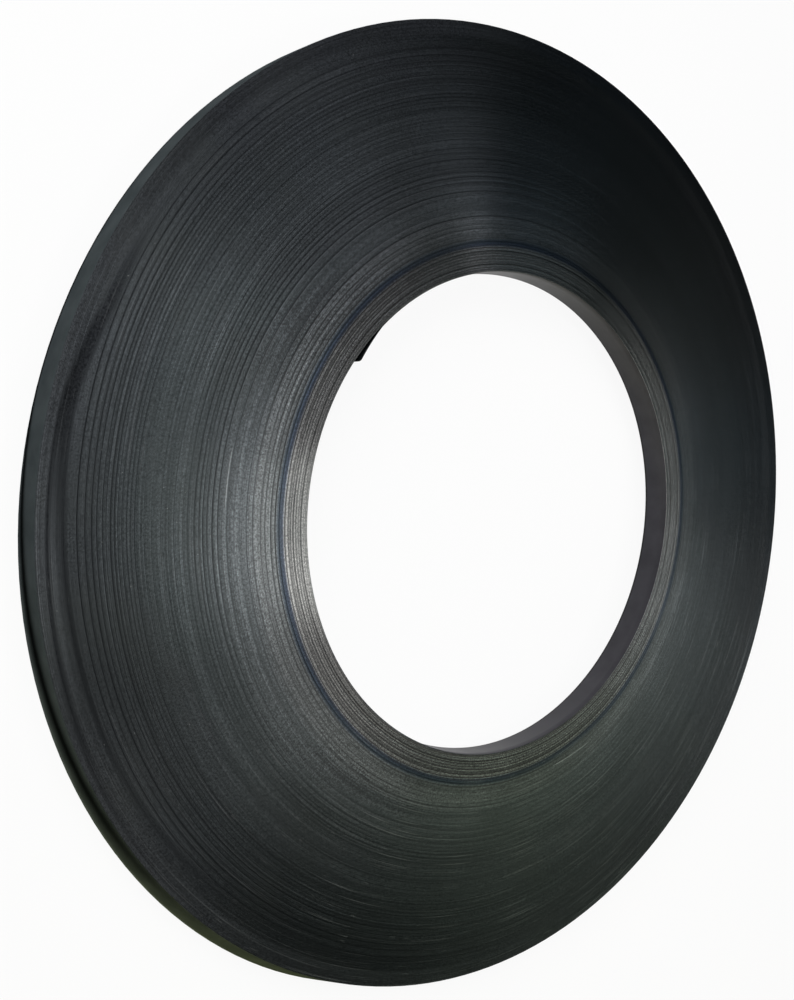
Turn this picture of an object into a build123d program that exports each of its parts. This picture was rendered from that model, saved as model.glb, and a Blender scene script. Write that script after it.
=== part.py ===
from build123d import *
import os

# Flat steel strap, slit to width and wound up turn over turn as one ribbon
strap_width = 19.0
strap_thickness = 0.5

# The wound coil, lying on its end with the inner turns standing highest
outer_diameter = 608.0
bore_diameter = 305.0
dish_rise = 13.5

# Level turns: the outermost, which the coil lies on, and the innermost round the bore
flush_width = 11.0
inner_ring_width = 16.0

# Where the winding wandered: small steps between bands of turns, as shares of the way
# across the dish from the outside in
band_step_shares = (0.110, 0.183, 0.256, 0.329, 0.481, 0.610, 0.665, 0.905)
band_step = 0.4

# Turns that sit back from their neighbours and show as dark rings
groove_shares = (0.051, 0.730, 0.837, 0.985)
groove_width = 2.0
groove_depth = 0.6

# Cut inner end of the strap: the last lap closes in to a step of one thickness
inner_end_angle = 144.0
inner_lap_angle = 45.0

outer_radius = outer_diameter / 2
bore_radius = bore_diameter / 2
flush_radius = outer_radius - flush_width
inner_ring_radius = bore_radius + inner_ring_width
dished_width = flush_radius - inner_ring_radius
wound_radius = bore_radius - 2 * strap_thickness


def dish_height(radius):
    return dish_rise * (flush_radius - radius) / dished_width


# Lower edges of all turns from the rim to the bore, as one line in section
lower_edge = [(outer_radius, 0), (flush_radius, 0)]
for share in sorted(band_step_shares + groove_shares):
    radius = flush_radius - share * dished_width
    height = dish_height(radius)
    if share in groove_shares:
        outer_side = radius + groove_width / 2
        inner_side = radius - groove_width / 2
        lower_edge.append((outer_side, dish_height(outer_side)))
        lower_edge.append((radius, height - groove_depth))
        lower_edge.append((inner_side, dish_height(inner_side)))
    else:
        lower_edge.append((radius + strap_thickness / 2, height - band_step / 2))
        lower_edge.append((radius - strap_thickness / 2, height + band_step / 2))
lower_edge.append((inner_ring_radius, dish_rise))
lower_edge.append((wound_radius, dish_rise))

# Every turn is one strap width high, so the upper edges repeat the lower ones
upper_edge = [(radius, height + strap_width) for radius, height in lower_edge]
section_points = [(radius, 0, height) for radius, height in lower_edge + upper_edge[::-1]]
section = make_face(Polyline(*section_points, close=True))
wound_strap = revolve(section, axis=Axis.Z)

# The bore: round, apart from the last lap and its cut end
bore_wall = CenterArc((0, 0, 0), bore_radius, inner_end_angle, 360 - inner_lap_angle)
cut_end_corner = Vector(bore_radius - strap_thickness, 0, 0).rotate(Axis.Z, inner_end_angle)
last_lap = TangentArc(bore_wall @ 1, cut_end_corner, tangent=bore_wall % 1)
cut_end = Line(last_lap @ 1, bore_wall @ 0)
opening = extrude(make_face([bore_wall, last_lap, cut_end]), amount=dish_rise + strap_width)

strap_coil = wound_strap - opening

os.makedirs("parts", exist_ok=True)
export_step(strap_coil, "parts/strap_coil.step")
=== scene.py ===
import math
import bpy
import numpy as np
from mathutils import Matrix, Vector


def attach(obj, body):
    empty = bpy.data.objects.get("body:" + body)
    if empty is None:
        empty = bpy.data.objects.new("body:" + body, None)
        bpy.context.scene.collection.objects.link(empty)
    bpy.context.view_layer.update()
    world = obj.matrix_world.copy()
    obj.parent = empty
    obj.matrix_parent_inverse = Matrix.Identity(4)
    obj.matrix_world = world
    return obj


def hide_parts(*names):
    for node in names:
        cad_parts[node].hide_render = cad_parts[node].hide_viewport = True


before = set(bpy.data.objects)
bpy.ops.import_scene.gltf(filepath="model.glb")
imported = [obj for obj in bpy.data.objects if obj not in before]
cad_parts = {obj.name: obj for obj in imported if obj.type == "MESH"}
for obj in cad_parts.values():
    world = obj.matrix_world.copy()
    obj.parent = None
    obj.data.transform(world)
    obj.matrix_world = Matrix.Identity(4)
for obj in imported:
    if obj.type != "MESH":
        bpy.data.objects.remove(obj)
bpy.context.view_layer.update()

# Wound strap: one steel strap, 19 mm wide and 0.5 mm thick, wound on itself as about 300 turns.
# It is slit, painted black and waxed. Each turn shows only its edge on the flat ends of the coil,
# and where the winding wandered a few turns sit back from the rest and show as dark rings.
mm = 0.001
strap_width = 19.0 * mm
strap_thickness = 0.5 * mm
outer_radius = 303.7 * mm
bore_radius = 151.9 * mm
dish_rise = 13.1 * mm
level_rim_radius = 291.8 * mm
level_bore_radius = 167.8 * mm
edge_round = 0.3 * mm

# Points in one ring of the mesh; bearings are in degrees, counter-clockwise from +X
points_round = 180
angles = np.linspace(0, 2 * math.pi, points_round, endpoint=False)
bearings = np.degrees(angles)

# The coil is a little out of round, going by a fit of the camera to its edges: share of the radius by
# which it is wide across the corners and wide across the sides, at the rim and at the bore
rim_out_of_round = (0.0086, 0.0010)
bore_out_of_round = (0.0042, 0.0050)

# Dark rings from the outside in: radius and how far the turns sit back, both in mm, and the bearing
# at which the ring is deepest
dark_rings = (
    (281.1, 0.50, 170), (277.1, 0.45, 160), (273.7, 0.45, 185), (271.0, 0.45, 165), (268.2, 0.40, 180),
    (266.3, 0.35, 150), (264.0, 0.40, 190), (262.0, 0.38, 170), (260.1, 0.30, 150), (258.0, 0.35, 195),
    (255.6, 0.30, 170), (253.6, 0.30, 130), (251.3, 0.32, 180), (248.0, 0.20, 90), (246.3, 0.25, 140),
    (242.5, 0.12, 300), (239.6, 0.12, 60), (237.2, 0.25, 150), (234.7, 0.18, 200), (233.2, 0.20, 145),
    (230.1, 0.28, 160), (227.7, 0.15, 20), (225.3, 0.25, 140), (222.7, 0.35, 155), (220.7, 0.15, 250),
    (219.0, 0.40, 150), (216.3, 0.30, 180), (214.3, 0.40, 165), (211.9, 0.40, 150), (209.0, 0.45, 160),
    (205.8, 0.45, 150), (200.6, 0.40, 135), (196.8, 0.10, 330), (193.2, 0.12, 200), (189.4, 0.30, 170),
    (185.8, 0.45, 130), (183.3, 0.12, 260), (181.1, 0.30, 150), (178.4, 0.30, 160), (175.0, 0.35, 180),
    (172.4, 0.40, 170), (170.0, 0.40, 200), (166.5, 0.45, 150), (164.4, 0.40, 60), (162.7, 0.35, 160),
    (161.1, 0.40, 190), (159.4, 0.35, 140), (157.8, 0.40, 220), (156.1, 0.30, 170), (154.4, 0.30, 120),
)
ring_radii = np.array([ring[0] for ring in dark_rings]) * mm
ring_depths = np.array([ring[1] for ring in dark_rings]) * mm
ring_bearings = [ring[2] for ring in dark_rings]
band_edges = np.concatenate([[outer_radius], ring_radii, [bore_radius]])


def wander(radius, angle):
    """Slow wave in a turn's radius on its way round, alike for turns that lie close together."""
    wave = np.cos(2 * angle + radius / (31 * mm)) + 0.6 * np.cos(3 * angle - radius / (23 * mm))
    return 0.22 * mm * (wave + 0.4 * np.cos(5 * angle + radius / (11 * mm)))


def hump(angle, middle, wide):
    """Smooth bump of height 1 round a bearing, both sizes in degrees."""
    away = (angle - math.radians(middle) + math.pi) % (2 * math.pi) - math.pi
    return np.exp(-(away / math.radians(wide)) ** 2)


def fade(bearing, end, over):
    """Smooth fall from 1 to 0 round a bearing."""
    return 1 / (1 + np.exp((bearing - end) / over))


# The outer turns lie loose outside their circles and have slumped in at the lower left, and the rim
# has a flat spot that lies further round on its back edge. Humps are bearing and spread.
loose_from_radius = 188.0 * mm
first_ring_radius = ring_radii[0]
loose_slip = 5.2 * mm
slump_depth = 8.2 * mm
slump_hump = (225, 65)
flat_spot_depth = 6.4 * mm
front_flat_spot = (250, 50)
back_flat_spot = (276, 22)
rim_offset = 0.5 * mm
rim_offset_bearing = 110


def slip(radius, angle, front):
    """How far a turn has slipped from its circle, at its front edge (front = 1) or its back edge (0)."""
    loose = np.clip((radius - loose_from_radius) / (first_ring_radius - loose_from_radius), 0, 1) ** 1.2
    turns = loose * (loose_slip - slump_depth * hump(angle, *slump_hump))
    flat_spot = front * hump(angle, *front_flat_spot) + (1 - front) * hump(angle, *back_flat_spot)
    rim = -flat_spot_depth * flat_spot
    rim -= rim_offset * (1 + np.cos(angle - math.radians(rim_offset_bearing)))
    outside = np.clip((radius - first_ring_radius) / (outer_radius - first_ring_radius), 0, 1)
    return turns * (1 - outside) + rim * outside


def dish(radius):
    """Height of the coil's upper side, level at the rim and at the bore and sloping between."""
    inward = (level_rim_radius - radius) / (level_rim_radius - level_bore_radius)
    return strap_width + dish_rise * np.clip(inward, 0, 1)


def out_of_round(radius, angle):
    """Factor on a turn's radius, from the bore's share to the rim's."""
    outward = (radius - bore_radius) / (outer_radius - bore_radius)
    corners = bore_out_of_round[0] + (rim_out_of_round[0] - bore_out_of_round[0]) * outward
    sides = bore_out_of_round[1] + (rim_out_of_round[1] - bore_out_of_round[1]) * outward
    return 1 + corners * np.sin(2 * angle) + sides * np.cos(2 * angle)


ring_half_width = 0.30 * mm
ring_width_share = 0.7
ring_least = 0.25
ring_swell = 0.42
ring_spread = 50


def set_back(radius, angle):
    """How far the turn at this radius sits back at this angle: the dark rings."""
    total = np.zeros(np.broadcast(radius, angle).shape)
    for ring, depth, deepest in zip(ring_radii, ring_depths, ring_bearings):
        along = ring_least + ring_swell * hump(angle, deepest, ring_spread)
        half_width = max(ring_half_width, ring_width_share * depth)
        total = np.maximum(total, depth * along * np.exp(-((radius - ring) / half_width) ** 2))
    return total


# The split hollow near the rim: both branches bend inward at their upper end, and the inner one runs
# on inward all the way
hollow_depth = 0.08 * mm
hollow_outer_radius = 295.8 * mm
hollow_inner_radius = 292.2 * mm
hollow_lean = 0.14 * mm
hollow_lean_from = 150
hollow_bend = 0.5 * mm
hollow_bend_from = 169
hollow_bend_length = 11
hollow_start = 151
hollow_fork = 178
outer_branch_end = 206
inner_branch_end = 216
outer_branch_half = 1.2 * mm
inner_branch_half = 1.4 * mm
inner_branch_share = 0.75


def hollow(radius, bearing):
    """Share of the split hollow: one broad hollow at its upper end that forks into two."""
    bend = hollow_bend * np.clip(hollow_bend_from - bearing, 0, hollow_bend_length)
    outer_branch = hollow_outer_radius - bend
    inner_branch = hollow_inner_radius - hollow_lean * (bearing - hollow_lean_from) - bend
    start = fade(-bearing, -hollow_start, 4)
    middle = (outer_branch + inner_branch) / 2
    half = (outer_branch - inner_branch) / 2 + outer_branch_half
    broad = start * fade(bearing, hollow_fork, 5) * np.exp(-((radius - middle) / half) ** 4)
    outer = np.exp(-((radius - outer_branch) / outer_branch_half) ** 2)
    outer = start * fade(bearing, outer_branch_end, 5) * outer
    inner = np.exp(-((radius - inner_branch) / inner_branch_half) ** 2)
    inner = inner_branch_share * start * fade(bearing, inner_branch_end, 6) * inner
    return np.maximum(broad, np.maximum(outer, inner))


crown_height = 0.025 * mm
crown_share = 0.018


def crown(radius):
    """Rounded rise of a band of turns between two dark rings."""
    band = np.clip(np.searchsorted(-band_edges, -radius) - 1, 0, len(band_edges) - 2)
    wide = band_edges[band] - band_edges[band + 1]
    across = (band_edges[band] - radius) / wide
    height = np.minimum(crown_share * wide, crown_height)
    return height * 4 * across * (1 - across)


def stations(beside_ring, spacing):
    """Radii of the mesh rings from the rim to the bore: close together beside every dark ring."""
    found = []
    for outer, inner in zip(band_edges[:-1], band_edges[1:]):
        wide = outer - inner
        near = beside_ring[-1]
        count = max(1, round((wide - 2 * near) / spacing))
        found.append(outer)
        found.extend(outer - step for step in beside_ring[:-1])
        found.extend(np.linspace(outer - near, inner + near, count + 1))
        found.extend(inner + step for step in beside_ring[-2::-1])
    return np.array(found[1:])


front_radii = stations((0.22 * mm, 0.50 * mm), 1.3 * mm)
back_radii = stations((0.45 * mm,), 2.4 * mm)

# A dark ring is mostly shade between the turns, so only part of its depth is cut into the mesh.
# The rest is painted shade, which darkens the colour there and in the split hollow.
cut_share = 0.15
full_shade_depth = 0.32 * mm
back_shade_depth = 0.8 * mm
hollow_shade = 0.95


def side_ring(radius, back=False):
    """One ring of points on the front or back of the coil, with its turn number and its shade."""
    depth = set_back(radius, angles)
    slipped = radius + slip(radius, angles, 0 if back else 1)
    sunk = hollow(slipped, bearings)
    height = dish(radius) + crown(radius) - cut_share * depth - hollow_depth * sunk
    shade = np.clip(depth / full_shade_depth, 0, 1) + hollow_shade * sunk
    if back:
        height = np.maximum(height - strap_width, 0)
        shade = depth / back_shade_depth
    round_radius = (slipped + wander(radius, angles)) * out_of_round(radius, angles)
    points = np.column_stack([round_radius * np.cos(angles), round_radius * np.sin(angles), height])
    turn = np.full(len(angles), (radius - bore_radius) / strap_thickness)
    return points, turn, shade


def wall_ring(radius, height, shade=0.0):
    """One ring of points on the outermost or innermost face of the strap, with turn number and shade."""
    edge = outer_radius if radius > level_rim_radius else bore_radius
    slipped = radius + slip(edge, angles, min(height / strap_width, 1))
    round_radius = (slipped + wander(edge, angles)) * out_of_round(edge, angles)
    level = 0 * angles + height
    points = np.column_stack([round_radius * np.cos(angles), round_radius * np.sin(angles), level])
    turn = np.full(len(angles), (edge - bore_radius) / strap_thickness)
    return points, turn, 0 * angles + shade


# Finish of each ring: 0 the slit edges, 1 the rim, 2 the bore
slit_edges, rim_face, bore_face = 0, 1, 2
rings = []
ring_finish = []
for radius in front_radii:
    rings.append(side_ring(radius))
    ring_finish.append(slit_edges)

# Bore wall from the top down, with rounded edges and shade along the lower one
edge_drops = (0.0, 0.35, 1.0)
bore_top = dish(bore_radius)
bore_bottom = bore_top - strap_width
for drop in edge_drops:
    rings.append(wall_ring(bore_radius + edge_round * (1 - drop) ** 2, bore_top - edge_round * drop))
for share in (0.25, 0.5, 0.75):
    rings.append(wall_ring(bore_radius, bore_top - strap_width * share))
for rise, shade in ((2.2 * mm, 0.0), (1.0 * mm, 0.8)):
    rings.append(wall_ring(bore_radius, bore_bottom + rise, shade))
for drop in edge_drops[::-1]:
    radius = bore_radius + edge_round * (1 - drop) ** 2
    rings.append(wall_ring(radius, bore_bottom + edge_round * drop, 1.0))
ring_finish.extend([bore_face] * (len(rings) - len(ring_finish)))

for radius in back_radii[::-1]:
    rings.append(side_ring(radius, back=True))
    ring_finish.append(slit_edges)

# Painted dark reflection on the rim: a dark band in the paint's colour, low at the left, that climbs and
# widens on its way down. Under it the lower edge is painted paler, a painted reflection of the white
# floor, which is a shade below 0.
past_left = np.clip(bearings - 168, 0, None)
dark_reflection_middle = 1.0 * mm + 0.27 * mm * past_left
dark_reflection_half = 1.1 * mm + 0.125 * mm * past_left
dark_reflection_shown = fade(-bearings, -140, 6) * fade(bearings, 222, 5)
floor_reflection = 1.3 * hump(angles, 212, 30)
floor_reflection_height = 2.5 * mm


def rim_shade(rise):
    """Painted dark reflection of the rim at this height above its lower edge, all the way round; below 0, the
    painted floor reflection.
    """
    dark_reflection = dark_reflection_shown * np.exp(-((rise - dark_reflection_middle) / dark_reflection_half) ** 2)
    return dark_reflection - floor_reflection * (1 - dark_reflection) * math.exp(-(rise / floor_reflection_height) ** 2)


# Rim from the bottom up, with rounded edges, and the painted dark reflection and floor reflection in its
# shade
for drop in edge_drops:
    rise = edge_round * drop
    rings.append(wall_ring(outer_radius - edge_round * (1 - drop) ** 2, rise, rim_shade(rise)))
for rise in np.array((0.8, 1.6, 2.6, 3.8, 5.2, 7.0, 9.0, 11.0, 13.0, 15.0, 17.0)) * mm:
    rings.append(wall_ring(outer_radius, rise, rim_shade(rise)))
for drop in edge_drops[::-1]:
    rise = strap_width - edge_round * drop
    rings.append(wall_ring(outer_radius - edge_round * (1 - drop) ** 2, rise, rim_shade(rise)))
ring_finish.extend([rim_face] * (len(rings) - len(ring_finish)))

points = np.concatenate([ring[0] for ring in rings])
turn_number = np.concatenate([ring[1] for ring in rings]).astype(np.float32)
point_shade = np.concatenate([ring[2] for ring in rings]).astype(np.float32)
faces = []
face_finish = []
for ring in range(len(rings)):
    following = (ring + 1) % len(rings)
    for step in range(points_round):
        beside = (step + 1) % points_round
        faces.append((ring * points_round + step, following * points_round + step,
                      following * points_round + beside, ring * points_round + beside))
        face_finish.append(ring_finish[ring])

strap_mesh = bpy.data.meshes.new("wound_strap")
strap_mesh.from_pydata(points.tolist(), [], faces)
strap_mesh.attributes.new("turn_number", "FLOAT", "POINT").data.foreach_set("value", turn_number)
strap_mesh.attributes.new("shade", "FLOAT", "POINT").data.foreach_set("value", point_shade)
strap_mesh.polygons.foreach_set("material_index", face_finish)
strap_mesh.polygons.foreach_set("use_smooth", [True] * len(faces))
strap_mesh.update()
strap_mesh.validate()
wound_strap = bpy.data.objects.new("wound_strap", strap_mesh)
bpy.context.collection.objects.link(wound_strap)


def linear(hex_colour):
    """A colour written as sRGB hex, in the linear values that shaders take."""
    parts = [int(hex_colour[place:place + 2], 16) / 255 for place in (1, 3, 5)]
    bright = [part / 12.92 if part <= 0.04045 else ((part + 0.055) / 1.055) ** 2.4 for part in parts]
    return bright + [1.0]


def add_node(tree, kind, inputs=None, **settings):
    """Adds one shader node, sets its settings, and links or sets its inputs."""
    made = tree.nodes.new("ShaderNode" + kind)
    for name, value in settings.items():
        setattr(made, name, value)
    for name, value in (inputs or {}).items():
        if isinstance(value, bpy.types.NodeSocket):
            tree.links.new(value, made.inputs[name])
        else:
            made.inputs[name].default_value = value
    return made


# Black strapping paint on the rounded slit edges of the turns. It is set as a dark metal, not as a film
# of paint, so that light stretches across the turns into fans, as on a record. The turns round the bore
# are a warmer grey, as if rubbed, beside a ring of turns with a blue tint like oxide.
edge_paint = bpy.data.materials.new("black_paint_on_slit_edges")
edge_paint.use_nodes = True
tree = edge_paint.node_tree
tree.nodes.clear()
place = add_node(tree, "TexCoord").outputs["Object"]
turn = add_node(tree, "Attribute", attribute_name="turn_number").outputs["Fac"]
shade = add_node(tree, "Attribute", attribute_name="shade").outputs["Fac"]
flat = add_node(tree, "VectorMath", {0: place, 1: (1, 1, 0)}, operation="MULTIPLY").outputs[0]
bearing = add_node(tree, "VectorMath", {0: flat}, operation="NORMALIZE").outputs[0]
turn_up = add_node(tree, "CombineXYZ", {"Z": turn}).outputs[0]

# Turns differ from their neighbours and change slowly on their way round
along = add_node(tree, "VectorMath", {0: bearing, "Scale": 2.5}, operation="SCALE").outputs[0]
along_turns = add_node(tree, "VectorMath", {0: along, 1: turn_up}, operation="ADD").outputs[0]
turn_tone = add_node(tree, "TexNoise", {"Vector": along_turns, "Scale": 0.7, "Detail": 3.0,
                                        "Roughness": 0.6}).outputs["Fac"]

# Fine lines: pairs of turns, because a single 0.5 mm turn is too fine to show
pair = add_node(tree, "Math", {0: turn, 1: 0.5}, operation="MULTIPLY").outputs[0]
pair_count = add_node(tree, "Math", {0: pair}, operation="FLOOR").outputs[0]
pair_level = add_node(tree, "TexWhiteNoise", {"W": pair_count}, noise_dimensions="1D").outputs["Value"]
pair_phase = add_node(tree, "Math", {0: pair, 1: math.pi}, operation="MULTIPLY").outputs[0]
pair_sine = add_node(tree, "Math", {0: pair_phase}, operation="SINE").outputs[0]
pair_round = add_node(tree, "Math", {0: pair_sine}, operation="ABSOLUTE").outputs[0]

# Scratches: long thin bright dashes along single turns, and shorter ones
long_way = add_node(tree, "VectorMath", {0: bearing, "Scale": 3.0}, operation="SCALE").outputs[0]
long_turns = add_node(tree, "VectorMath", {0: long_way, 1: turn_up}, operation="ADD").outputs[0]
long_noise = add_node(tree, "TexNoise", {"Vector": long_turns, "Scale": 1.3, "Detail": 0.0}).outputs["Fac"]
short_way = add_node(tree, "VectorMath", {0: bearing, "Scale": 24.0}, operation="SCALE").outputs[0]
short_turns = add_node(tree, "VectorMath", {0: short_way, 1: turn_up}, operation="ADD").outputs[0]
short_noise = add_node(tree, "TexNoise", {"Vector": short_turns, "Scale": 1.3,
                                          "Detail": 0.0}).outputs["Fac"]
long_mark = add_node(tree, "MapRange", {"Value": long_noise, "From Min": 0.70, "From Max": 0.82,
                                        "To Max": 0.6}).outputs["Result"]
short_mark = add_node(tree, "MapRange", {"Value": short_noise, "From Min": 0.81, "From Max": 0.86,
                                         "To Max": 0.6}).outputs["Result"]
lower_right = add_node(tree, "VectorMath", {0: bearing, 1: (0.5, -0.87, 0)},
                       operation="DOT_PRODUCT").outputs["Value"]
dragged = add_node(tree, "MapRange", {"Value": lower_right, "From Min": -0.1, "From Max": 0.6,
                                      "To Min": 0.18, "To Max": 1.0}).outputs["Result"]
scratch = add_node(tree, "Math", {0: long_mark, 1: short_mark}, operation="MAXIMUM").outputs[0]
scratch = add_node(tree, "Math", {0: scratch, 1: dragged}, operation="MULTIPLY").outputs[0]

# Two long scratches that run along or a little across the turns: middle bearing, half length in
# degrees, turn number at the middle, turns crossed per radian, and brightness
long_scratches = ((292.5, 6.5, 50.2, 21.0, 1.0), (174, 5, 99.6, 0.0, 0.5))
for middle_bearing, half_length, middle_turn, lean, bright in long_scratches:
    way = math.radians(middle_bearing)
    radial = add_node(tree, "VectorMath", {0: bearing, 1: (math.cos(way), math.sin(way), 0)},
                      operation="DOT_PRODUCT").outputs["Value"]
    aside = add_node(tree, "VectorMath", {0: bearing, 1: (-math.sin(way), math.cos(way), 0)},
                     operation="DOT_PRODUCT").outputs["Value"]
    own_turn = add_node(tree, "Math", {0: aside, 1: lean, 2: middle_turn},
                        operation="MULTIPLY_ADD").outputs[0]
    off_turn = add_node(tree, "Math", {0: turn, 1: own_turn}, operation="SUBTRACT").outputs[0]
    off_turn = add_node(tree, "Math", {0: off_turn}, operation="ABSOLUTE").outputs[0]
    thin = add_node(tree, "MapRange", {"Value": off_turn, "From Min": 0.9, "From Max": 0.3,
                                       "To Max": bright}).outputs["Result"]
    off_way = add_node(tree, "Math", {0: aside}, operation="ABSOLUTE").outputs[0]
    half = math.sin(math.radians(half_length))
    length = add_node(tree, "MapRange", {"Value": off_way, "From Min": half,
                                         "From Max": 0.7 * half}).outputs["Result"]
    near = add_node(tree, "Math", {0: radial, 1: 0.0}, operation="GREATER_THAN").outputs[0]
    mark = add_node(tree, "Math", {0: thin, 1: length}, operation="MULTIPLY").outputs[0]
    mark = add_node(tree, "Math", {0: mark, 1: near}, operation="MULTIPLY").outputs[0]
    scratch = add_node(tree, "Math", {0: scratch, 1: mark}, operation="MAXIMUM").outputs[0]

# Wax that lies in patches, the grain of the paint, and a little dust
wax_size = 60 * mm
grain_size = 1.1 * mm
dust_size = 1.2 * mm
wax_noise = add_node(tree, "TexNoise", {"Vector": place, "Scale": 1 / wax_size, "Detail": 5.0}).outputs["Fac"]
grain_noise = add_node(tree, "TexNoise", {"Vector": place, "Scale": 1 / grain_size,
                                          "Detail": 2.0}).outputs["Fac"]
dust_noise = add_node(tree, "TexNoise", {"Vector": place, "Scale": 1 / dust_size,
                                         "Detail": 0.0}).outputs["Fac"]
dust = add_node(tree, "MapRange", {"Value": dust_noise, "From Min": 0.87, "From Max": 0.91,
                                   "To Max": 0.6}).outputs["Result"]

# Colour by share of the way from the bore to the rim
turn_count = (outer_radius - bore_radius) / strap_thickness
outward = add_node(tree, "Math", {0: turn, 1: turn_count}, operation="DIVIDE").outputs[0]
ring_colour = add_node(tree, "ValToRGB", {"Fac": outward})
ramp = ring_colour.color_ramp.elements
ramp[0].position = 0.097
ramp[0].color = linear("#848482")
ramp[1].position = 1.0
ramp[1].color = linear("#36393b")
for position, colour in ((0.106, "#404753"), (0.122, "#465059"), (0.134, "#6a6e6e"), (0.20, "#6c7070"),
                         (0.25, "#5b6061"), (0.45, "#474c4d"), (0.65, "#3c4142")):
    ramp.new(position).color = linear(colour)
turn_lift = add_node(tree, "MapRange", {"Value": turn_tone, "From Min": 0.3, "From Max": 0.7,
                                        "To Min": 0.76, "To Max": 1.2}).outputs["Result"]
grain_lift = add_node(tree, "MapRange", {"Value": grain_noise, "From Min": 0.3, "From Max": 0.7,
                                         "To Min": 0.6, "To Max": 1.4}).outputs["Result"]
pair_low = add_node(tree, "MapRange", {"Value": outward, "From Min": 0.10, "From Max": 0.12,
                                       "To Min": 0.62, "To Max": 0.86}).outputs["Result"]
pair_high = add_node(tree, "Math", {0: 2.0, 1: pair_low}, operation="SUBTRACT").outputs[0]
pair_lift = add_node(tree, "MapRange", {"Value": pair_level, "To Min": pair_low,
                                        "To Max": pair_high}).outputs["Result"]
lift = add_node(tree, "Math", {0: turn_lift, 1: grain_lift}, operation="MULTIPLY").outputs[0]
lift = add_node(tree, "Math", {0: lift, 1: pair_lift}, operation="MULTIPLY").outputs[0]
toned = add_node(tree, "VectorMath", {0: ring_colour.outputs["Color"], "Scale": lift},
                 operation="SCALE").outputs[0]
wax = add_node(tree, "MapRange", {"Value": wax_noise, "From Min": 0.45, "From Max": 0.75,
                                  "To Max": 0.4}).outputs["Result"]
waxed = add_node(tree, "Mix", {0: wax, 6: toned, 7: linear("#3c403e")}, data_type="RGBA").outputs[2]
# Painted shade: the paint goes near black where turns sit back in the dark rings and the hollow, patchy with
# the grain
patchy_painted_shade = add_node(tree, "Math", {0: shade, 1: grain_lift}, operation="MULTIPLY", use_clamp=True).outputs[0]
sunk = add_node(tree, "Mix", {0: patchy_painted_shade, 6: waxed, 7: linear("#121416")}, data_type="RGBA").outputs[2]
scratched = add_node(tree, "Mix", {0: scratch, 6: sunk, 7: linear("#8d9090")}, data_type="RGBA").outputs[2]
dusty = add_node(tree, "Mix", {0: dust, 6: scratched, 7: linear("#8b8d8b")}, data_type="RGBA").outputs[2]

gloss = add_node(tree, "MapRange", {"Value": turn_tone, "From Min": 0.3, "From Max": 0.7,
                                    "To Min": 0.24, "To Max": 0.20}).outputs["Result"]
line_height = add_node(tree, "Math", {0: pair_round, 1: pair_level}, operation="MULTIPLY").outputs[0]
lines = add_node(tree, "Bump", {"Height": line_height, "Strength": 0.10, "Distance": 0.25 * mm}).outputs[0]
around = add_node(tree, "Tangent", direction_type="RADIAL", axis="Z").outputs[0]
edge_shader = add_node(tree, "BsdfPrincipled", {
    "Base Color": dusty, "Metallic": 0.93, "Roughness": gloss, "Anisotropic": 1.0,
    "Anisotropic Rotation": 0.25, "Tangent": around, "Normal": lines})
add_node(tree, "OutputMaterial", {"Surface": edge_shader.outputs[0]})

# The same paint on the flat of the strap, which shows on the rim and in the bore: satin, with faint
# lengthwise lines, as from rolling, and small dull patches of wax. The rim is dull. In the bore the
# paint is greyer and smoother, as if rubbed by a mandrel, so it mirrors the room at a low angle.
face_paints = []
for name, dark, pale, smooth, rough, mirror in (
        ("black_paint_on_rim", "#34393b", "#3e4345", 0.55, 0.68, 0.0),
        ("rubbed_paint_in_bore", "#28272c", "#343338", 0.38, 0.46, 0.2)):
    face_paint = bpy.data.materials.new(name)
    face_paint.use_nodes = True
    tree = face_paint.node_tree
    tree.nodes.clear()
    place = add_node(tree, "TexCoord").outputs["Object"]
    roll_place = add_node(tree, "VectorMath", {0: place, 1: (6, 6, 900)}, operation="MULTIPLY").outputs[0]
    roll = add_node(tree, "TexNoise", {"Vector": roll_place, "Scale": 1.0, "Detail": 3.0}).outputs["Fac"]
    patch_size = 14 * mm
    patch = add_node(tree, "TexNoise", {"Vector": place, "Scale": 1 / patch_size,
                                        "Detail": 4.0}).outputs["Fac"]
    tone = add_node(tree, "ValToRGB", {"Fac": patch})
    tone.color_ramp.elements[0].position = 0.3
    tone.color_ramp.elements[0].color = linear(dark)
    tone.color_ramp.elements[1].position = 0.7
    tone.color_ramp.elements[1].color = linear(pale)
    shade = add_node(tree, "Attribute", attribute_name="shade").outputs["Fac"]
    # Painted shade and reflections: the shade attribute darkens the rim's dark band, the bore's lower edge
    # and the inner end, and a shade below 0 makes the paint paler, the rim's painted floor reflection
    shaded = add_node(tree, "Mix", {0: shade, 6: tone.outputs["Color"], 7: linear("#050606")},
                      data_type="RGBA", clamp_factor=False).outputs[2]
    gloss = add_node(tree, "MapRange", {"Value": patch, "From Min": 0.3, "From Max": 0.7,
                                        "To Min": smooth, "To Max": rough}).outputs["Result"]
    lines = add_node(tree, "Bump", {"Height": roll, "Strength": 0.15, "Distance": 0.2 * mm}).outputs[0]
    shader = add_node(tree, "BsdfPrincipled", {
        "Base Color": shaded, "Roughness": gloss, "IOR": 1.5, "Specular IOR Level": mirror,
        "Normal": lines})
    add_node(tree, "OutputMaterial", {"Surface": shader.outputs[0]})
    face_paints.append(face_paint)

strap_mesh.materials.append(edge_paint)
for face_paint in face_paints:
    strap_mesh.materials.append(face_paint)
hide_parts("strap_coil")
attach(wound_strap, "root")

# Inner end of the strap: the start of the same painted steel strap. Its last lap lies on the bore wall,
# and its sheared end is kinked and stands a few millimetres off the wall. It is wound in, not fixed.
lap_start_angle = math.radians(104)
kink_angle = math.radians(134)
tip_angle = math.radians(143.4)
tip_gap = 3.0 * mm
hook_angle = math.radians(144.4)
hook_gap = 1.5 * mm
lap_gap = strap_thickness * 0.55
# The inner end's paint is darkened with painted shade, as it lies in shadow in the bore
end_shade = 0.85

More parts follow.
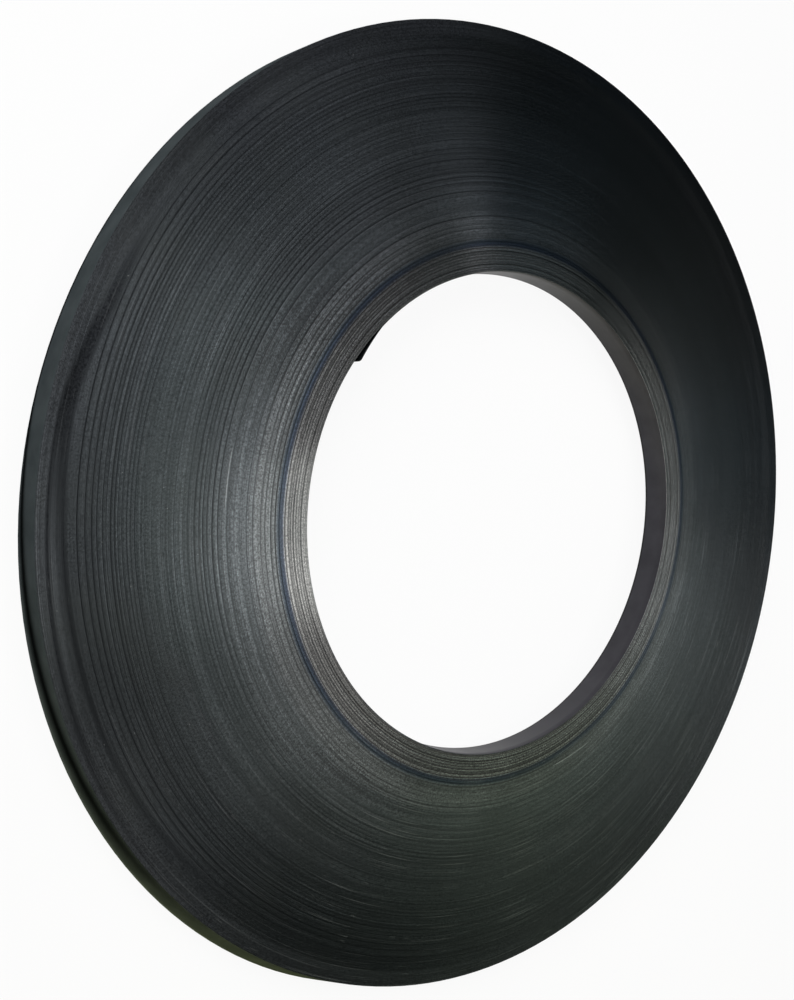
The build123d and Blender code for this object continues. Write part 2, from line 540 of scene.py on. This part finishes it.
lap_path = []
for angle in np.linspace(lap_start_angle, kink_angle, 14):
    share = (angle - lap_start_angle) / (kink_angle - lap_start_angle)
    lap_path.append((angle, lap_gap * share))
for angle in np.linspace(kink_angle, tip_angle, 9)[1:]:
    share = (angle - kink_angle) / (tip_angle - kink_angle)
    lap_path.append((angle, lap_gap + (tip_gap - lap_gap) * share))
for share in (0.35, 0.7, 1.0):
    angle = tip_angle + (hook_angle - tip_angle) * share
    lap_path.append((angle, tip_gap + (hook_gap - tip_gap) * share ** 2))
middle = []
for angle, gap in lap_path:
    radius = (bore_radius + wander(bore_radius, angle)) * out_of_round(bore_radius, angle) - gap
    middle.append(Vector((radius * math.cos(angle), radius * math.sin(angle), 0)))
lap_top = dish(bore_radius) - 0.1 * mm
lap_bottom = lap_top - strap_width
half = strap_thickness / 2
edge_in = half * 0.55
edge_up = half * 0.6
section = ((edge_in, 0), (half, edge_up), (half, strap_width - edge_up), (edge_in, strap_width),
           (-edge_in, strap_width), (-half, strap_width - edge_up), (-half, edge_up), (-edge_in, 0))
points = []
for place_along, point in enumerate(middle):
    before = middle[max(place_along - 1, 0)]
    after = middle[min(place_along + 1, len(middle) - 1)]
    ahead = (after - before).normalized()
    outward = Vector((ahead.y, -ahead.x, 0))
    for side, rise in section:
        points.append(point + outward * side + Vector((0, 0, lap_bottom + rise)))
count = len(section)
faces = []
for place_along in range(len(middle) - 1):
    for corner in range(count):
        beside = (corner + 1) % count
        faces.append((place_along * count + corner, place_along * count + beside,
                      (place_along + 1) * count + beside, (place_along + 1) * count + corner))
faces.append(tuple(range(count))[::-1])
faces.append(tuple((len(middle) - 1) * count + corner for corner in range(count)))
end_mesh = bpy.data.meshes.new("strap_inner_end")
end_mesh.from_pydata([tuple(point) for point in points], [], faces)
end_mesh.polygons.foreach_set("use_smooth", [True] * len(faces))
end_mesh.set_sharp_from_angle(angle=math.radians(40))
end_mesh.update()
end_mesh.validate()
end_mesh.attributes.new("shade", "FLOAT", "POINT").data.foreach_set("value", [end_shade] * len(points))
end_mesh.materials.append(face_paints[0])
strap_inner_end = bpy.data.objects.new("strap_inner_end", end_mesh)
bpy.context.collection.objects.link(strap_inner_end)
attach(strap_inner_end, "root")

# Floor: a plain matt white floor that the coil lies on, set up for the picture. It shows white to the
# camera and in mirror images, and the matt share keeps the coil's soft shadow.
floor_half = 6.0
floor_white_share = 0.92
floor_mesh = bpy.data.meshes.new("floor")
floor_mesh.from_pydata([(-floor_half, -floor_half, 0), (floor_half, -floor_half, 0),
                        (floor_half, floor_half, 0), (-floor_half, floor_half, 0)], [], [(0, 1, 2, 3)])
floor = bpy.data.objects.new("floor", floor_mesh)
bpy.context.collection.objects.link(floor)
floor_paint = bpy.data.materials.new("white_studio_floor")
floor_paint.use_nodes = True
tree = floor_paint.node_tree
tree.nodes.clear()
ray = add_node(tree, "LightPath")
seen = add_node(tree, "Math", {0: ray.outputs["Is Camera Ray"], 1: ray.outputs["Is Glossy Ray"]},
                operation="MAXIMUM").outputs[0]
seen = add_node(tree, "Math", {0: seen, 1: ray.outputs["Is Transmission Ray"]},
                operation="MAXIMUM").outputs[0]
matt = add_node(tree, "BsdfDiffuse", {"Color": linear("#f4f4f2")})
glow = add_node(tree, "Emission", {"Color": (1, 1, 1, 1), "Strength": 1.0})
share = add_node(tree, "Math", {0: seen, 1: floor_white_share}, operation="MULTIPLY").outputs[0]
lit = add_node(tree, "MixShader", {0: share, 1: matt.outputs[0], 2: glow.outputs[0]})
add_node(tree, "OutputMaterial", {"Surface": lit.outputs[0]})
floor_mesh.materials.append(floor_paint)

# Camera: beyond the left side of the coil and above it, looking down across its upper side to the
# right. The picture's upright is close to the coil's own Y axis.
camera = bpy.data.cameras.new("camera")
camera.sensor_fit = "VERTICAL"
camera.sensor_height = 36.0
camera.lens = 43.2
camera_holder = bpy.data.objects.new("camera", camera)
camera_place = Vector((-0.5235, 0.0397, 0.5798))
camera_aim = Vector((-0.0798, 0.0082, 0.0189))
picture_up = Vector((0, 1, -0.0564))
backward = (camera_place - camera_aim).normalized()
rightward = picture_up.cross(backward).normalized()
upward = backward.cross(rightward)
turned = Matrix((rightward, upward, backward)).transposed().to_4x4()
camera_holder.matrix_world = Matrix.Translation(camera_place) @ turned
bpy.context.collection.objects.link(camera_holder)
bpy.context.scene.camera = camera_holder
bpy.context.scene.view_settings.view_transform = "Standard"

# Studio light: a room that is white behind the camera and low round the floor, and dim and cool beyond
# the coil. A curved panel of soft lights there draws the fans of light across the turns. A small box
# lights the turns at the bore, a broad fill the rim, and a yellowish bounce the rim's lower side.
world = bpy.data.worlds.new("studio")
bpy.context.scene.world = world
world.use_nodes = True
tree = world.node_tree
tree.nodes.clear()
ray = add_node(tree, "LightPath")
direction = add_node(tree, "TexCoord").outputs["Generated"]
ways = add_node(tree, "SeparateXYZ", {0: direction})
low_wall = add_node(tree, "MapRange", {"Value": ways.outputs["Z"], "From Min": 0.11,
                                       "From Max": 0.03}).outputs["Result"]
near_side = add_node(tree, "MapRange", {"Value": ways.outputs["X"], "From Min": 0.05,
                                        "From Max": -0.30}).outputs["Result"]
white_part = add_node(tree, "Math", {0: low_wall, 1: near_side}, operation="MAXIMUM").outputs[0]
mirrored = add_node(tree, "Math", {0: ray.outputs["Is Glossy Ray"], 1: ray.outputs["Is Transmission Ray"]},
                    operation="MAXIMUM").outputs[0]
mirrored = add_node(tree, "Math", {0: mirrored, 1: white_part}, operation="MULTIPLY").outputs[0]
seen = add_node(tree, "Math", {0: ray.outputs["Is Camera Ray"], 1: mirrored},
                operation="MAXIMUM").outputs[0]
room = add_node(tree, "Background", {"Color": linear("#b3f4ff"), "Strength": 0.042})
white = add_node(tree, "Background", {"Color": (1, 1, 1, 1), "Strength": 1.0})
shown = add_node(tree, "MixShader", {0: seen, 1: room.outputs[0], 2: white.outputs[0]})
add_node(tree, "OutputWorld", {"Surface": shown.outputs[0]})


def add_lamp(name, position, aim, wide, high, watts, colour):
    """One soft box: a rectangle of light at a position, facing a point."""
    lamp = bpy.data.lights.new(name, "AREA")
    lamp.shape = "RECTANGLE"
    lamp.size = wide
    lamp.size_y = high
    lamp.energy = watts
    lamp.color = linear(colour)[:3]
    holder = bpy.data.objects.new(name, lamp)
    holder.location = position
    holder.rotation_euler = (Vector(aim) - Vector(position)).to_track_quat("-Z", "Y").to_euler()
    bpy.context.collection.objects.link(holder)
    return holder


middle_of_coil = Vector((0, 0, 20 * mm))
mirror_height = 25 * mm
panel_distance = 0.95
slope = dish_rise / (level_rim_radius - level_bore_radius)


def mirror_place(bearing, radius, tilt):
    """Where a light stands that turns with this outward tilt mirror into the camera."""
    outward = Vector((math.cos(math.radians(bearing)), math.sin(math.radians(bearing)), 0))
    point = outward * radius + Vector((0, 0, mirror_height))
    to_camera = (camera_place - point).normalized()
    upright = (outward * tilt + Vector((0, 0, 1))).normalized()
    to_light = 2 * to_camera.dot(upright) * upright - to_camera
    return point + to_light * panel_distance


# Soft lights in the panel: which turns mirror one, the bearing of those turns, how far round it fades
# in degrees, its strength and its tint. Turns are told apart by their tilt against the dish.
row_step = 0.1
level_turns, sloping_turns, steep_turns = -row_step, 0.0, row_step
panel_lights = (
    (level_turns, 85, 20, 0.3, "#c5e2ff"),
    (level_turns, 101, 5, 1.4, "#f8f5ff"),
    (level_turns, 138, 25, 0.3, "#f8f5ff"),
    (level_turns, 184, 15, 5.0, "#fffcfe"),
    (level_turns, 222, 24, 1.9, "#fffbf9"),
    (level_turns, 280, 40, 1.35, "#f4ffe8"),
    (level_turns, 341, 18, 1.4, "#f6faff"),
    (sloping_turns, 108, 6, 0.4, "#f8f5ff"),
    (sloping_turns, 320, 24, 1.1, "#fbfffc"),
    (sloping_turns, 10, 16, 0.3, "#c5e8ff"),
    (steep_turns, 125, 15, 2.3, "#f8f5ff"),
    (steep_turns, 157, 18, 5.2, "#fcfaff"),
    (steep_turns, 211, 14, 1.4, "#fffafc"),
    (steep_turns, 276, 22, 0.65, "#f4ffe8"),
)
middle_radius = 228 * mm
panel_bearings = np.arange(0, 360, 3)
panel_half_tilt = 0.175
panel_tilts = np.linspace(-panel_half_tilt, panel_half_tilt, 8)
points = []
lights = []
for bearing in panel_bearings:
    for tilt in panel_tilts:
        points.append(tuple(mirror_place(bearing, middle_radius, slope + tilt)))
        glow = np.zeros(3)
        for row, middle, wide, strength, tint in panel_lights:
            row_share = max(0, 1 - abs(tilt - row) / row_step)
            round_share = hump(math.radians(bearing), middle, wide)
            glow += row_share * strength * round_share * np.array(linear(tint)[:3])
        lights.extend([*glow, 1.0])
across = len(panel_tilts)
faces = []
for place_round in range(len(panel_bearings)):
    here = place_round * across
    beside = (place_round + 1) % len(panel_bearings) * across
    for step in range(across - 1):
        faces.append((here + step, here + step + 1, beside + step + 1, beside + step))
panel_mesh = bpy.data.meshes.new("light_panel")
panel_mesh.from_pydata(points, [], faces)
panel_mesh.attributes.new("light", "FLOAT_COLOR", "POINT").data.foreach_set("color", lights)
panel_paint = bpy.data.materials.new("light_panel_cloth")
panel_paint.use_nodes = True
tree = panel_paint.node_tree
tree.nodes.clear()
light = add_node(tree, "Attribute", attribute_name="light").outputs["Color"]
shine = add_node(tree, "Emission", {"Color": light, "Strength": 1.0})
add_node(tree, "OutputMaterial", {"Surface": shine.outputs[0]})
panel_mesh.materials.append(panel_paint)
light_panel = bpy.data.objects.new("light_panel", panel_mesh)
light_panel.visible_camera = False
light_panel.visible_shadow = False
bpy.context.collection.objects.link(light_panel)

bore_box_place = mirror_place(183, level_bore_radius - 7 * mm, 0)
add_lamp("bore_box", bore_box_place, middle_of_coil, 0.20, 0.20, 0.50, "#fbfffc")
fill = add_lamp("fill", (-1.2, 1.2, 1.1), middle_of_coil, 1.4, 1.4, 36.0, "#ffffff")
fill.visible_glossy = False
bounce = add_lamp("bounce", (-0.3, -1.5, 0.12), middle_of_coil, 0.6, 0.15, 18.0, "#c8c670")
bounce.visible_glossy = False
